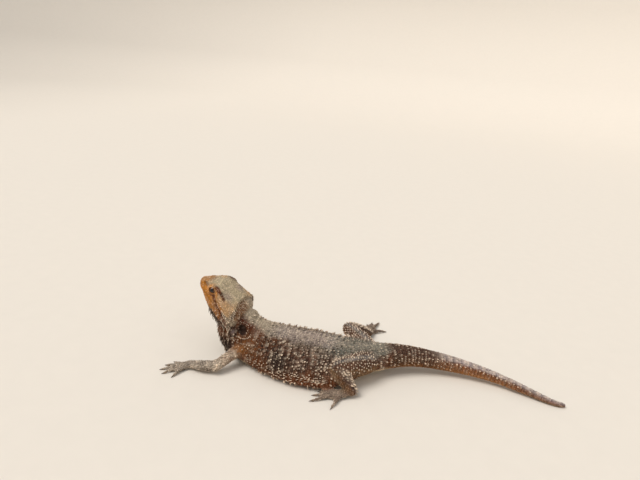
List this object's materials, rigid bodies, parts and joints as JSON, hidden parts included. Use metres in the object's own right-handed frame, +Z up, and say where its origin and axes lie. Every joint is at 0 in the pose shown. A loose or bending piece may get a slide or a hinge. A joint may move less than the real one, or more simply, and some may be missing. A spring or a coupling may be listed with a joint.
{
  "type": "bearded dragon",
  "caption": "Still, life-size bearded dragon lying on its belly with its head raised, one arm stretched forward, hind legs folded and the tail laid out behind in a long bow.",
  "frame": {"origin": "on the floor, under the middle of the model's bounding box", "axes": "-X towards the head and +X towards the tail's tip, -Y to the animal's left, +Z up"},
  "size_m": [0.3704, 0.166, 0.0728],
  "materials": {
    "skin": "dry scaly skin, satin",
    "eye": "wet gloss",
    "claw": "smooth horn"
  },
  "bodies": {
    "root": {"head": "skin", "lower_jaw": "skin", "neck": "skin", "trunk": "skin", "tail_base": "skin", "tail_middle": "skin", "tail_end": "skin", "upper_arm_left": "skin", "forearm_left": "skin", "hand_left": "skin", "thigh_left": "skin", "shank_left": "skin", "foot_left": "skin", "upper_arm_right": "skin", "forearm_right": "skin", "hand_right": "skin", "thigh_right": "skin", "shank_right": "skin", "foot_right": "skin", "eye_left": "eye", "eye_right": "eye", "hand_left_claw_1": "claw", "hand_left_claw_2": "claw", "hand_left_claw_3": "claw", "hand_left_claw_4": "claw", "hand_left_claw_5": "claw", "hand_right_claw_1": "claw", "hand_right_claw_2": "claw", "hand_right_claw_3": "claw", "hand_right_claw_4": "claw", "hand_right_claw_5": "claw", "foot_left_claw_1": "claw", "foot_left_claw_2": "claw", "foot_left_claw_3": "claw", "foot_left_claw_4": "claw", "foot_left_claw_5": "claw", "foot_right_claw_1": "claw", "foot_right_claw_2": "claw", "foot_right_claw_3": "claw", "foot_right_claw_4": "claw", "foot_right_claw_5": "claw"}
  },
  "joints": []
}
